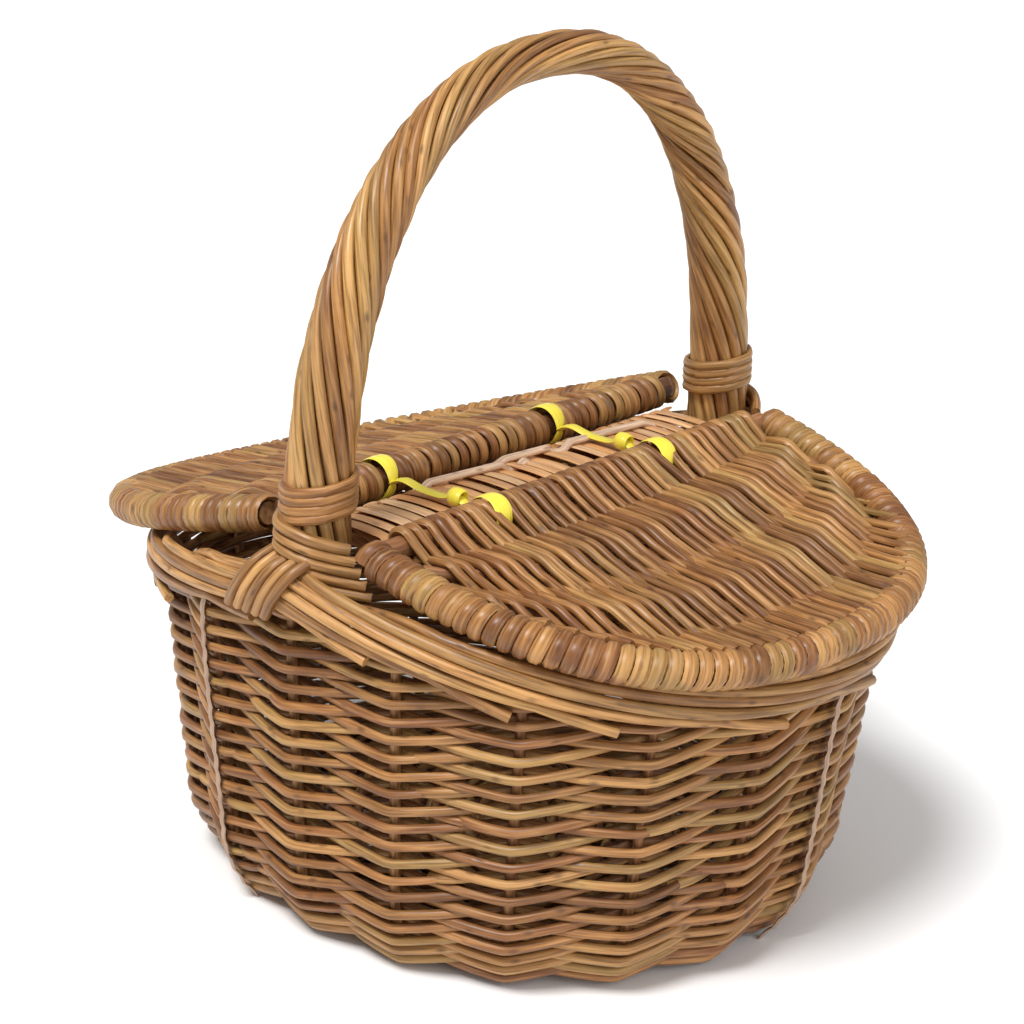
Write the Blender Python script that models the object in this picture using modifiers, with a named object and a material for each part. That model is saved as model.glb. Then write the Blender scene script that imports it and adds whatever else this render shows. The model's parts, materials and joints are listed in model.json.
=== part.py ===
"""Wicker picnic basket: woven body, roped arch handle, bridge, two flap lids and yellow strap hinges.

Frame: +Z up, the ground at Z = 0, the handle's arch in the plane X = 0 with its feet at -Y and +Y.
The lids open about bars that run along Y on both sides of the bridge; the right lid reaches towards +X.
"""
import math

import bmesh
import bpy
from mathutils import Vector

# ---- Driving dimensions, in metres -------------------------------------------------------------
GAP = 0.0003                  # clearance between neighbouring solids

# Body of the basket, measured to the outside of the weave
BODY_CENTRE = (-0.003, -0.003)   # the body sits a little towards the longer left lid and the front
BODY_POWER = 2.1              # superellipse power of the plan outline
HALF_LENGTH_LOW = 0.161       # half length along X that the straight wall would have at the ground
HALF_LENGTH_HIGH = 0.173      # half length along X at the rim's low ends
HALF_WIDTH_LOW = 0.1425       # half width along Y that the straight wall would have at the ground
HALF_WIDTH_HIGH = 0.1545      # half width along Y at the rim
WALL_HIGH = 0.142             # height at which the "high" half sizes hold
FOOT_TUCK = 0.015             # how far the wall turns in at the ground
FOOT_TURN = 0.037             # height over which it turns in
FOOT_HEIGHT = 0.030           # height of the upsett
WALL = 0.008                  # thickness of the weave in this solid model
RIM_SIDE_Z = 0.1800           # centre of the border beside the handle
RIM_DROP_LEFT = 0.049         # how much lower the border is at the left end
RIM_DROP_RIGHT = 0.031        # how much lower the border is at the right end
RIM_DROP_POWER = 1.1

WALL_LEVELS = (0.0, 0.25, 0.6, 1.0)             # where the side weave's rows lie, as shares of its height
FOOT_SHARES = (0.0, 0.2, 0.45, 0.72, 1.0)       # where the upsett's rows lie, as shares of its height
FOOT_SEAM = 0.0018            # height left free between the upsett and the side weave
STEPS_AROUND = 48             # facets round the body

# Rods of the body
BORDER_ROD_R = 0.0042
BORDER_INSET = 0.001          # border rods' centres, in from the wall's outer face
BORDER_SEAM = 0.0009          # height left free between the side weave and the border
BORDER_STEPS = 64
STAKE_R = 0.0025
STAKE_PLACES = 18             # places for uprights round the wall
HANDLE_PLACES = (4, 13)       # the two places taken by the ends of the handle's core
STAKE_SPARE = 0.0018          # clearance between a stake and the faceted weave outside it
STAKE_BOTTOM = 0.024
STAKE_SHARES = (0.0, 0.12, 0.4, 1.0)
BASE_THICKNESS = 0.006
BASE_INSET = 0.0075           # the base disc's edge, in from the wall's outer face
BASE_STICK_R = 0.003
BASE_STICK_REACH = 0.108      # half length of a base stick
BASE_STICK_Y = (-0.030, 0.030)

# Handle
HANDLE_HALF_SPAN = 0.139      # centre line of the legs from the middle
HANDLE_FOOT_Z = 0.1935
HANDLE_RISE = 0.1925
HANDLE_POWER = 2.23
HANDLE_R = 0.0150             # radius at the feet
HANDLE_THINNING = 0.33        # share of the radius that is lost at the top of the arch
HANDLE_CORE_R = 0.0052
HANDLE_STRANDS = 6
HANDLE_TURNS = 1.1
HANDLE_STEPS = 33
STRAND_SHARE = 0.955          # a strand's radius as a share of the room it has round the core
CORE_TAIL_LEVELS = (0.045, 0.12, 0.174)   # heights of the core's ends, pushed down inside the wall
CORE_SPARE = 0.0012           # clearance between the core and the faceted weave outside it
BINDING_LIFT = 0.006          # lower edge of a binding above the arch's foot
BINDING_HEIGHT = 0.026
BINDING_SPARE = 0.0012        # clearance between the binding and the strands inside it
BINDING_WALL = 0.0034
LASHING_R = 0.0025
LASHING_OUT = 0.0087          # a lashing's centre line outside the wall, where it crosses the border

# Hinge bars and lids
HINGE_X = 0.0338
HINGE_Z = 0.1955
BAR_R = 0.009
LID_POWER = 2.4
HOOP_STEPS = 28
RIB_R = 0.0028
RIB_SHARES = (1 / 3, 2 / 3)    # how far each bowed rib lies from the bar towards the hoop
BAR_SPARE = 0.0008            # clearance between the bar's ends and the hoop
FIELD_INSET = 0.0102          # the weave's edge, in from the hoop's centre line
FIELD_START = 0.0126          # the weave's edge, out from the bar's centre line
WEAVE_SHEET = 0.0026
WEAVE_SPARE = 0.0022          # clearance between the weave and the rib it crosses
WEAVE_COLUMNS = 12
CREST_POWER = 0.7             # makes the weave's ridges broader than its valleys
SIDE_SHARES = [0.985 * math.sin(math.pi / 2 * i / 8) for i in range(-8, 9)]   # steps across a lid
LIDS = {
    "right": {"side": 1, "length": 0.147, "half_width": 0.137, "centre_y": -0.003,
              "slope": math.radians(12.6), "twist": 0.0},
    "left": {"side": -1, "length": 0.190, "half_width": 0.139, "centre_y": 0.004,
             "slope": math.radians(18.1), "twist": math.radians(2.0)},
}

# Bridge between the handle's feet
BRIDGE_HALF_WIDTH = 0.0203
BRIDGE_HALF_LENGTH = 0.1215
BRIDGE_Z = 0.1885
BRIDGE_THICKNESS = 0.012
BRIDGE_SKIN = 0.0018
BRIDGE_CHAMFER = 0.004
RAIL_R = 0.0036
RAIL_X = 0.0125

# Strap hinges
STRAP_Y = {"front": -0.068, "back": 0.047}
STRAP_WIDTH = 0.009
STRAP_THICKNESS = 0.0014
STRAP_SPARE = 0.0005          # clearance between a loop and the bar inside it
TIE_THICKNESS = 0.003
TIE_SPARE = 0.001             # clearance between each end of a tie and the loop beside it

COLLECTION = "wicker_basket"


# ---- Scene helpers -----------------------------------------------------------------------------
def clear_scene():
    """Remove whatever objects the file starts with."""
    for item in list(bpy.data.objects):
        bpy.data.objects.remove(item, do_unlink=True)


def make_collection(name):
    """Make a collection in the scene and return it."""
    collection = bpy.data.collections.new(name)
    bpy.context.scene.collection.children.link(collection)
    return collection


def make_material(name, colour, roughness):
    """A Principled material with one colour and roughness."""
    material = bpy.data.materials.new(name)
    material.use_nodes = True
    shader = material.node_tree.nodes["Principled BSDF"]
    shader.inputs["Base Color"].default_value = (*colour, 1.0)
    shader.inputs["Roughness"].default_value = roughness
    shader.inputs["Metallic"].default_value = 0.0
    material.diffuse_color = (*colour, 1.0)
    return material


def add_object(name, data, material, parent=None):
    """Link an object with its material to the basket's collection, keeping world places."""
    data.materials.append(material)
    item = bpy.data.objects.new(name, data)
    PARTS.objects.link(item)
    if parent is not None:
        item.parent = parent
    return item


def add_tube(name, points, radius, material, cyclic=False, resolution=1, parent=None, offset=(0, 0, 0),
             shares=None):
    """A rod along points: a poly curve with a round bevel and filled caps; shares scale its radius."""
    curve = bpy.data.curves.new(name, "CURVE")
    curve.dimensions = "3D"
    curve.bevel_depth = radius
    curve.bevel_resolution = resolution
    curve.use_fill_caps = not cyclic
    spline = curve.splines.new("POLY")
    spline.points.add(len(points) - 1)
    for place, point in zip(spline.points, points):
        place.co = (point[0] - offset[0], point[1] - offset[1], point[2] - offset[2], 1.0)
    if shares is not None:
        for place, share in zip(spline.points, shares):
            place.radius = share
    spline.use_cyclic_u = cyclic
    return add_object(name, curve, material, parent)


def add_rod(name, start, end, radius, material, sides=8, parent=None, offset=(0, 0, 0)):
    """A straight rod: a capped cylinder turned to lie from start to end."""
    start = Vector(start)
    end = Vector(end)
    along = end - start
    turn = along.to_track_quat("Z", "Y").to_matrix().to_4x4()
    mesh = bpy.data.meshes.new(name)
    shape = bmesh.new()
    bmesh.ops.create_cone(shape, cap_ends=True, segments=sides, radius1=radius, radius2=radius,
                          depth=along.length)
    bmesh.ops.transform(shape, matrix=turn, verts=shape.verts)
    bmesh.ops.translate(shape, vec=(start + end) / 2 - Vector(offset), verts=shape.verts)
    shape.to_mesh(mesh)
    shape.free()
    return add_object(name, mesh, material, parent)


def add_ring(name, centre, inner, outer, half_width, material, sides=20):
    """A band round an axis along Y or Z: a rectangle profile turned by a Screw modifier."""
    mesh = bpy.data.meshes.new(name)
    corners = [(outer, 0, half_width), (outer, 0, -half_width), (inner, 0, -half_width),
               (inner, 0, half_width)]
    mesh.from_pydata(corners, [(0, 1), (1, 2), (2, 3), (3, 0)], [])
    ring = add_object(name, mesh, material)
    ring.location = centre
    screw = ring.modifiers.new("turn", "SCREW")
    screw.steps = sides
    screw.render_steps = sides
    screw.use_merge_vertices = True
    screw.merge_threshold = 0.0001
    return ring


def grid_mesh(name, rows, cyclic):
    """A surface through rows of points, each row the same length; cyclic joins a row's ends."""
    shape = bmesh.new()
    lattice = [[shape.verts.new(point) for point in row] for row in rows]
    count = len(rows[0])
    spans = count if cyclic else count - 1
    for low, high in zip(lattice, lattice[1:]):
        for i in range(spans):
            j = (i + 1) % count
            shape.faces.new((low[i], low[j], high[j], high[i]))
    mesh = bpy.data.meshes.new(name)
    shape.to_mesh(mesh)
    shape.free()
    return mesh


def thicken(item, thickness, offset):
    """Give an open surface its thickness."""
    shell = item.modifiers.new("wall", "SOLIDIFY")
    shell.thickness = thickness
    shell.offset = offset


# ---- Shape of the body -------------------------------------------------------------------------
def signed_power(value, power):
    """A power that keeps the sign."""
    return math.copysign(abs(value) ** power, value)


def body_half_sizes(height):
    """Half length and half width of the outside of the weave at a height."""
    rise = min(height / WALL_HIGH, 1.0)
    tuck = FOOT_TUCK * max(1.0 - height / FOOT_TURN, 0.0) ** 2
    half_length = HALF_LENGTH_LOW + (HALF_LENGTH_HIGH - HALF_LENGTH_LOW) * rise - tuck
    half_width = HALF_WIDTH_LOW + (HALF_WIDTH_HIGH - HALF_WIDTH_LOW) * rise - tuck
    return half_length, half_width


def wall_point(angle, height, inset=0.0):
    """A point of the wall, moved in by inset along the outline's own normal."""
    half_length, half_width = body_half_sizes(height)
    power = 2.0 / BODY_POWER
    x = half_length * signed_power(math.cos(angle), power)
    y = half_width * signed_power(math.sin(angle), power)
    normal = Vector((signed_power(x / half_length, BODY_POWER - 1) / half_length,
                     signed_power(y / half_width, BODY_POWER - 1) / half_width))
    normal.normalize()
    return Vector((BODY_CENTRE[0] + x - inset * normal.x, BODY_CENTRE[1] + y - inset * normal.y, height))


def rim_height(point):
    """Height of the border's centre: highest beside the handle, and as twisted as the lid that lies on it."""
    offset = point.x - BODY_CENTRE[0]
    reach = min(abs(offset) / HALF_LENGTH_HIGH, 1.0)
    lid = LIDS["right"] if offset > 0 else LIDS["left"]
    drop = RIM_DROP_RIGHT if offset > 0 else RIM_DROP_LEFT
    twist = lid["twist"] * max(abs(point.x) - HINGE_X, 0.0) * point.y / lid["half_width"]
    return RIM_SIDE_Z - drop * reach ** RIM_DROP_POWER - twist


def outline_angles(count, shift=0.0):
    """Evenly stepped angles round the body."""
    return [2 * math.pi * (i + shift) / count for i in range(count)]


def side_top(angle):
    """Upper edge of the side weave, just under the border's rods."""
    return rim_height(wall_point(angle, WALL_HIGH)) - 2 * BORDER_ROD_R - BORDER_SEAM


# ---- Body of the basket ------------------------------------------------------------------------
def build_base():
    """Woven disc inside the foot of the wall, with two long sticks across it."""
    curve = bpy.data.curves.new("base_weave", "CURVE")
    curve.dimensions = "2D"
    curve.fill_mode = "BOTH"
    curve.extrude = BASE_THICKNESS / 2
    spline = curve.splines.new("POLY")
    points = [wall_point(angle, 0.0, BASE_INSET) for angle in outline_angles(STEPS_AROUND)]
    spline.points.add(len(points) - 1)
    for place, point in zip(spline.points, points):
        place.co = (point.x, point.y, 0.0, 1.0)
    spline.use_cyclic_u = True
    disc = add_object("base_weave", curve, WEAVE)
    disc.location.z = BASE_THICKNESS / 2
    for i, y in enumerate(BASE_STICK_Y, start=1):
        z = BASE_THICKNESS + GAP + BASE_STICK_R
        start = (BODY_CENTRE[0] - BASE_STICK_REACH, y, z)
        end = (BODY_CENTRE[0] + BASE_STICK_REACH, y, z)
        add_rod(f"base_stick_{i}", start, end, BASE_STICK_R, STICK)


def build_walls():
    """Upsett that turns up from the base, then the side weave up to the border."""
    angles = outline_angles(STEPS_AROUND)
    rows = [[wall_point(angle, share * FOOT_HEIGHT) for angle in angles] for share in FOOT_SHARES]
    upsett = add_object("upsett_weave", grid_mesh("upsett_weave", rows, True), WEAVE)
    thicken(upsett, WALL, -1.0)
    start = FOOT_HEIGHT + FOOT_SEAM
    rows = []
    for share in WALL_LEVELS:
        rows.append([wall_point(angle, start + share * (side_top(angle) - start)) for angle in angles])
    side = add_object("side_weave", grid_mesh("side_weave", rows, True), WEAVE)
    thicken(side, WALL, -1.0)


def build_stakes():
    """Upright stakes against the inner face of the weave."""
    inset = WALL + STAKE_R + STAKE_SPARE
    angles = outline_angles(STAKE_PLACES, shift=0.5)
    angles = [angle for i, angle in enumerate(angles) if i not in HANDLE_PLACES]
    for i, angle in enumerate(angles, start=1):
        rise = side_top(angle) - 0.002 - STAKE_BOTTOM
        heights = [STAKE_BOTTOM + share * rise for share in STAKE_SHARES]
        points = [wall_point(angle, height, inset) for height in heights]
        add_tube(f"stake_{i:02d}", points, STAKE_R, STICK)


def build_border():
    """Two rods rolled round the rim, one on the other."""
    angles = outline_angles(BORDER_STEPS)
    for i, lift in enumerate((-1, 1), start=1):
        points = []
        for angle in angles:
            point = wall_point(angle, WALL_HIGH, BORDER_INSET)
            point.z = rim_height(point) + lift * (BORDER_ROD_R + GAP / 2)
            points.append(point)
        add_tube(f"border_rod_{i}", points, BORDER_ROD_R, BORDER, cyclic=True)


# ---- Handle ------------------------------------------------------------------------------------
def arch_point(angle):
    """Centre line of the handle; the angle runs from the front foot (0) to the back foot (pi)."""
    power = 2.0 / HANDLE_POWER
    y = -HANDLE_HALF_SPAN * signed_power(math.cos(angle), power)
    z = HANDLE_FOOT_Z + HANDLE_RISE * abs(math.sin(angle)) ** power
    return Vector((0.0, y, z))


def even_arch(count):
    """Points spaced evenly along the arch, each with its in-plane outward normal and its share of thickness."""
    fine = [arch_point(math.pi * i / 600) for i in range(601)]
    lengths = [0.0]
    for a, b in zip(fine, fine[1:]):
        lengths.append(lengths[-1] + (b - a).length)
    result = []
    at = 0
    for i in range(count):
        goal = lengths[-1] * i / (count - 1)
        while at < len(fine) - 2 and lengths[at + 1] < goal:
            at += 1
        span = fine[at + 1] - fine[at]
        point = fine[at] + span * ((goal - lengths[at]) / span.length)
        tangent = span.normalized()
        height = math.sin(math.pi * at / 600)
        result.append((point, Vector((0.0, -tangent.z, tangent.y)), 1.0 - HANDLE_THINNING * height ** 2))
    return result


def build_handle():
    """A thick core bow whose ends run down inside the wall, roped over with strands."""
    steps = even_arch(HANDLE_STEPS)
    inset = WALL + HANDLE_CORE_R + CORE_SPARE
    tail = []
    for z in CORE_TAIL_LEVELS:
        tail.append(wall_point(-math.pi / 2, z, inset))
    far_tail = [wall_point(math.pi / 2, z, inset) for z in reversed(CORE_TAIL_LEVELS)]
    for point in tail + far_tail:
        point.x = 0.0
    core = tail + [point for point, _, _ in steps] + far_tail
    shares = [1.0] * len(tail) + [share for _, _, share in steps] + [1.0] * len(tail)
    add_tube("handle_core", core, HANDLE_CORE_R, BORDER, shares=shares)
    strand_r = (HANDLE_R - HANDLE_CORE_R) / 2 - GAP / 2
    reach = HANDLE_CORE_R + GAP + strand_r
    across = Vector((1.0, 0.0, 0.0))
    for k in range(HANDLE_STRANDS):
        points = []
        for i, (point, outward, share) in enumerate(steps):
            turn = 2 * math.pi * (k / HANDLE_STRANDS - HANDLE_TURNS * i / (len(steps) - 1))
            points.append(point + share * reach * (math.cos(turn) * outward + math.sin(turn) * across))
        shares = [share for _, _, share in steps]
        add_tube(f"handle_strand_{k + 1}", points, strand_r * STRAND_SHARE, HANDLE, shares=shares)
    for name, side in (("front", -1), ("back", 1)):
        inner = HANDLE_R + BINDING_SPARE
        z = HANDLE_FOOT_Z + BINDING_LIFT + BINDING_HEIGHT / 2
        centre = (0.0, side * (HANDLE_HALF_SPAN - 0.0006), z)
        add_ring(f"foot_binding_{name}", centre, inner, inner + BINDING_WALL, BINDING_HEIGHT / 2, HANDLE)


def build_lashings():
    """A rod at each foot that crosses the outside of the border on the slant."""
    for name, side in (("front", -1), ("back", 1)):
        outer = BODY_CENTRE[1] + side * (HALF_WIDTH_HIGH + LASHING_OUT)
        points = [(0.012, outer - side * 0.0045, RIM_SIDE_Z + 0.0150),
                  (0.006, outer, RIM_SIDE_Z + 0.0060),
                  (-0.006, outer, RIM_SIDE_Z - 0.0120),
                  (-0.020, outer, RIM_SIDE_Z - 0.0260)]
        add_tube(f"foot_lashing_{name}", points, LASHING_R, HANDLE)


# ---- Bridge and straps -------------------------------------------------------------------------
def build_bridge():
    """A woven sleeve from foot to foot round two rails."""
    half_height = BRIDGE_THICKNESS / 2
    flat = BRIDGE_HALF_WIDTH - BRIDGE_CHAMFER
    outline = [(-BRIDGE_HALF_WIDTH, 0.0), (-flat, half_height), (flat, half_height),
               (BRIDGE_HALF_WIDTH, 0.0), (flat, -half_height), (-flat, -half_height)]
    rows = []
    for y in (-BRIDGE_HALF_LENGTH, BRIDGE_HALF_LENGTH):
        rows.append([(x, y, z) for x, z in outline])
    sleeve = add_object("bridge_weave", grid_mesh("bridge_weave", rows, True), BUFF)
    sleeve.location.z = BRIDGE_Z
    thicken(sleeve, BRIDGE_SKIN, -1.0)
    for name, side in (("left", -1), ("right", 1)):
        start = (side * RAIL_X, -BRIDGE_HALF_LENGTH, BRIDGE_Z)
        end = (side * RAIL_X, BRIDGE_HALF_LENGTH, BRIDGE_Z)
        add_rod(f"bridge_rail_{name}", start, end, RAIL_R, STICK)


def build_straps():
    """Each strap: a loop round both hinge bars and a tie that lies over the bridge between them."""
    inner = BAR_R + STRAP_SPARE
    outer = inner + STRAP_THICKNESS
    for name, y in STRAP_Y.items():
        for lid, side in (("left", -1), ("right", 1)):
            centre = (side * HINGE_X, y, HINGE_Z)
            loop = add_ring(f"strap_{name}_loop_{lid}", centre, inner, outer, STRAP_WIDTH / 2, STRAP, 16)
            loop.rotation_euler.x = math.radians(90)
        mesh = bpy.data.meshes.new(f"strap_{name}_tie")
        shape = bmesh.new()
        bmesh.ops.create_cube(shape, size=1.0)
        size = Vector((2 * (HINGE_X - outer - TIE_SPARE), STRAP_WIDTH, TIE_THICKNESS))
        bmesh.ops.scale(shape, vec=size, verts=shape.verts)
        shape.to_mesh(mesh)
        shape.free()
        tie = add_object(f"strap_{name}_tie", mesh, STRAP)
        tie.location = (0.0, y, BRIDGE_Z + BRIDGE_THICKNESS / 2 + GAP + TIE_THICKNESS / 2)


# ---- Lids --------------------------------------------------------------------------------------
def hoop_reach(lid, across, inset=0.0):
    """Distance from the bar to the hoop at a place across the lid, for an outline drawn in by inset."""
    share = min(abs(across) / (lid["half_width"] - inset), 1.0)
    return (lid["length"] - inset) * (1.0 - share ** LID_POWER) ** (1.0 / LID_POWER)


def lid_place(lid, along, across, up):
    """A point of a lid in the world: along its slope, across it (Y) and up from its surface."""
    slope = lid["slope"] + lid["twist"] * across / lid["half_width"]
    reach = along * math.cos(slope) + up * math.sin(slope)
    height = -along * math.sin(slope) + up * math.cos(slope)
    return Vector((lid["side"] * (HINGE_X + reach), lid["centre_y"] + across, HINGE_Z + height))


def lid_field(lid, share, side_share, up):
    """A point between bar and hoop: share runs from the bar (0) to the hoop (1), side_share from -1 to 1."""
    across = side_share * (lid["half_width"] - FIELD_INSET)
    along = FIELD_START + share * (hoop_reach(lid, across, FIELD_INSET) - FIELD_START)
    return lid_place(lid, along, across, up)


def build_hoop(name, lid, hinge, pivot):
    """The bent rod that makes the lid's round edge."""
    power = 2.0 / LID_POWER
    points = []
    for i in range(HOOP_STEPS + 1):
        angle = -math.pi / 2 + math.pi * i / HOOP_STEPS
        along = lid["length"] * abs(math.cos(angle)) ** power
        across = lid["half_width"] * signed_power(math.sin(angle), power)
        points.append(lid_place(lid, along, across, 0.0))
    add_tube(f"lid_{name}_hoop", points, BAR_R, WRAP, False, 2, hinge, pivot)


def build_lid_weave(name, lid, hinge, pivot):
    """A sheet of weave that rises over each rib and sinks between them."""
    swing = RIB_R + WEAVE_SHEET / 2 + WEAVE_SPARE
    rows = []
    for i in range(WEAVE_COLUMNS + 1):
        share = i / WEAVE_COLUMNS
        up = swing * (0.5 + 0.5 * math.cos(2 * math.pi * share / RIB_SHARES[0])) ** CREST_POWER
        row = [lid_field(lid, share, side_share, up) - Vector(pivot) for side_share in SIDE_SHARES]
        rows.append(row)
    if lid["side"] > 0:
        rows.reverse()
    sheet = add_object(f"lid_{name}_weave", grid_mesh(f"lid_{name}_weave", rows, False), WEAVE, hinge)
    thicken(sheet, WEAVE_SHEET, 0.0)


def build_lid(name, lid):
    """A D frame of hoop and hinge bar, bowed ribs between them, and the weave that covers the ribs."""
    hinge = bpy.data.objects.new(f"lid_{name}_hinge", None)
    PARTS.objects.link(hinge)
    hinge.location = (lid["side"] * HINGE_X, 0.0, HINGE_Z)
    pivot = tuple(hinge.location)
    bar_end = lid["half_width"] - BAR_R - BAR_SPARE
    start = lid_place(lid, 0.0, -bar_end, 0.0)
    end = lid_place(lid, 0.0, bar_end, 0.0)
    add_rod(f"lid_{name}_hinge_bar", start, end, BAR_R, WRAP, 12, hinge, pivot)
    build_hoop(name, lid, hinge, pivot)
    for i, share in enumerate(RIB_SHARES, start=1):
        points = [lid_field(lid, share, side_share, 0.0) for side_share in SIDE_SHARES[3:-3]]
        add_tube(f"lid_{name}_rib_{i}", points, RIB_R, STICK, False, 1, hinge, pivot)
    build_lid_weave(name, lid, hinge, pivot)


# ---- Build -------------------------------------------------------------------------------------
clear_scene()
PARTS = make_collection(COLLECTION)
WEAVE = make_material("woven_willow", (0.40, 0.22, 0.10), 0.50)
STICK = make_material("willow_stick", (0.36, 0.20, 0.10), 0.50)
BORDER = make_material("border_willow", (0.45, 0.27, 0.13), 0.45)
HANDLE = make_material("roped_willow", (0.48, 0.30, 0.14), 0.42)
WRAP = make_material("wrapped_willow", (0.38, 0.21, 0.11), 0.45)
BUFF = make_material("buff_skein", (0.62, 0.34, 0.18), 0.50)
STRAP = make_material("yellow_strap", (0.85, 0.72, 0.05), 0.35)

build_base()
build_walls()
build_stakes()
build_border()
build_handle()
build_lashings()
build_bridge()
build_straps()
for lid_name, lid_sizes in LIDS.items():
    build_lid(lid_name, lid_sizes)
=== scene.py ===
# %% [markdown]
# # A willow picnic basket
# A basket is nothing but rods that pass over and under each other, so this lesson makes it the same way.
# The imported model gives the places: body, rim, handle, hinge bars and lids. Each weave is then laid
# round those places as real rods, because the shadow between two rods is what makes wicker look woven.
# A bump map on a plain shell would be quicker, but its edge would stay smooth and cast no shadows.

import json
import math

import bpy
import numpy as np
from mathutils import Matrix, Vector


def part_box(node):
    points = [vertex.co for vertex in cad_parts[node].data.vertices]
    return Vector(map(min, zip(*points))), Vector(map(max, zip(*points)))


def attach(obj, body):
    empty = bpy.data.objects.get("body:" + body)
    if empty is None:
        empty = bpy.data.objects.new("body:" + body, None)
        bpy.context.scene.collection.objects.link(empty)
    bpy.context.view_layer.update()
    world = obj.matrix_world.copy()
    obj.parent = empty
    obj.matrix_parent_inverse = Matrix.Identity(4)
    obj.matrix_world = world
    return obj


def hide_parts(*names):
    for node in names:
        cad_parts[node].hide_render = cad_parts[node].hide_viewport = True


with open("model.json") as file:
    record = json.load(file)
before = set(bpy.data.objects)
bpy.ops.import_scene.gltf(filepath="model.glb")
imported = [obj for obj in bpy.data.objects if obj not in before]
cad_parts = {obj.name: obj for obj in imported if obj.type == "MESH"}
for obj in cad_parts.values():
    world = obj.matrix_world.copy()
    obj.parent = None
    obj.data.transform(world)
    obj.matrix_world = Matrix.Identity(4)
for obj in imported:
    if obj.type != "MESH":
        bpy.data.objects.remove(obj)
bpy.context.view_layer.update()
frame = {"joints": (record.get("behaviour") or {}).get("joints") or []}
rng = np.random.default_rng(11)

# %% [markdown]
# ## A rod is a profile carried along a path
# Every willow rod, wrap and strap here is one small closed profile carried along a path. A curve object
# with a bevel would do for one rod, but there are hundreds, and each needs its own taper, colour and grain.
# So the paths are arrays: rods by points by three. The profile is turned with the path by two directions,
# the path's tangent and a given normal, and all rods of a set become one mesh in a few array operations.


# %% Carry a profile along many paths
def unit(vectors):
    """Vectors divided by their lengths."""
    return vectors / np.maximum(np.linalg.norm(vectors, axis=-1, keepdims=True), 1e-12)


def carry(paths, normals, half_width, half_height=None, sides=6, tones=None):
    """Tubes along paths (rods, points, 3).

    A point of the tube is path + side * half_width * cos(a) + up * half_height * sin(a), where side is
    tangent x normal and up is side x tangent. Both half sizes may change along each rod.
    Returns the points, the faces and the values that the materials read.
    """
    paths = np.asarray(paths, float)
    rods, steps = paths.shape[:2]
    normals = np.broadcast_to(normals, paths.shape)
    width = np.broadcast_to(half_width, (rods, steps))[..., None, None]
    height = width if half_height is None else np.broadcast_to(half_height, (rods, steps))[..., None, None]
    tangent = unit(np.gradient(paths, axis=1))
    side = unit(np.cross(tangent, normals))
    up = np.cross(side, tangent)
    angle = 2 * np.pi * np.arange(sides) / sides
    around = np.stack([np.cos(angle), np.sin(angle)], -1)
    ring = side[:, :, None] * width * around[:, :1] + up[:, :, None] * height * around[:, 1:]
    points = (paths[:, :, None] + ring).reshape(-1, 3)

    index = np.arange(rods * steps * sides).reshape(rods, steps, sides)
    nxt = np.roll(index, -1, axis=2)
    quads = np.stack([index[:, :-1], index[:, 1:], nxt[:, 1:], nxt[:, :-1]], -1).reshape(-1, 4)
    caps = np.concatenate([index[:, 0], index[:, -1, ::-1]])

    length = np.cumsum(np.linalg.norm(np.diff(paths, axis=1, prepend=paths[:, :1]), axis=-1), axis=1)
    tones = rng.random((rods, 3)) if tones is None else tones
    grain = np.empty((rods, steps, sides, 3))
    grain[..., :2] = around * 0.0024
    grain[..., 2] = length[..., None]
    grain += (tones * 7.0)[:, None, None]
    tone = np.broadcast_to(tones[:, None, None], grain.shape)
    return {"points": points, "faces": [quads, caps],
            "grain": grain.reshape(-1, 3), "tone": tone.reshape(-1, 3)}


def make_piece(name, parts, material, body, replaced=(), flat_angle=65):
    """One mesh object from carried parts, riding on a body."""
    loops, sizes, shift = [], [], 0
    for part in parts:
        for faces in part["faces"]:
            loops.append((faces + shift).ravel())
            sizes.append(np.full(len(faces), faces.shape[1]))
        shift += len(part["points"])
    loops, sizes = np.concatenate(loops), np.concatenate(sizes)
    mesh = bpy.data.meshes.new(name)
    mesh.vertices.add(shift)
    mesh.loops.add(len(loops))
    mesh.polygons.add(len(sizes))
    mesh.vertices.foreach_set("co", np.concatenate([p["points"] for p in parts]).astype(np.float32).ravel())
    mesh.loops.foreach_set("vertex_index", loops.astype(np.int32))
    mesh.polygons.foreach_set("loop_start", (np.cumsum(sizes) - sizes).astype(np.int32))
    mesh.update(calc_edges=True)
    mesh.validate()
    for key in ("grain", "tone"):
        values = np.concatenate([p[key] for p in parts]).astype(np.float32)
        mesh.attributes.new(key, "FLOAT_VECTOR", "POINT").data.foreach_set("vector", values.ravel())
    mesh.shade_smooth()
    mesh.set_sharp_from_angle(angle=math.radians(flat_angle))
    mesh.materials.append(material)
    piece = bpy.data.objects.new(name, mesh)
    bpy.context.scene.collection.objects.link(piece)
    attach(piece, body)
    if replaced:
        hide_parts(*replaced)
    print(f"{name}: {int((sizes - 2).sum())} triangles")
    return piece


# %% [markdown]
# ## Shader maths as plain expressions
# A material is a graph of nodes. Wiring it by hand hides the sum behind the boxes, so a small class wraps
# a socket and turns + - * / into Math nodes. Colours and vectors go through Mix and Vector Math instead.


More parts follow.
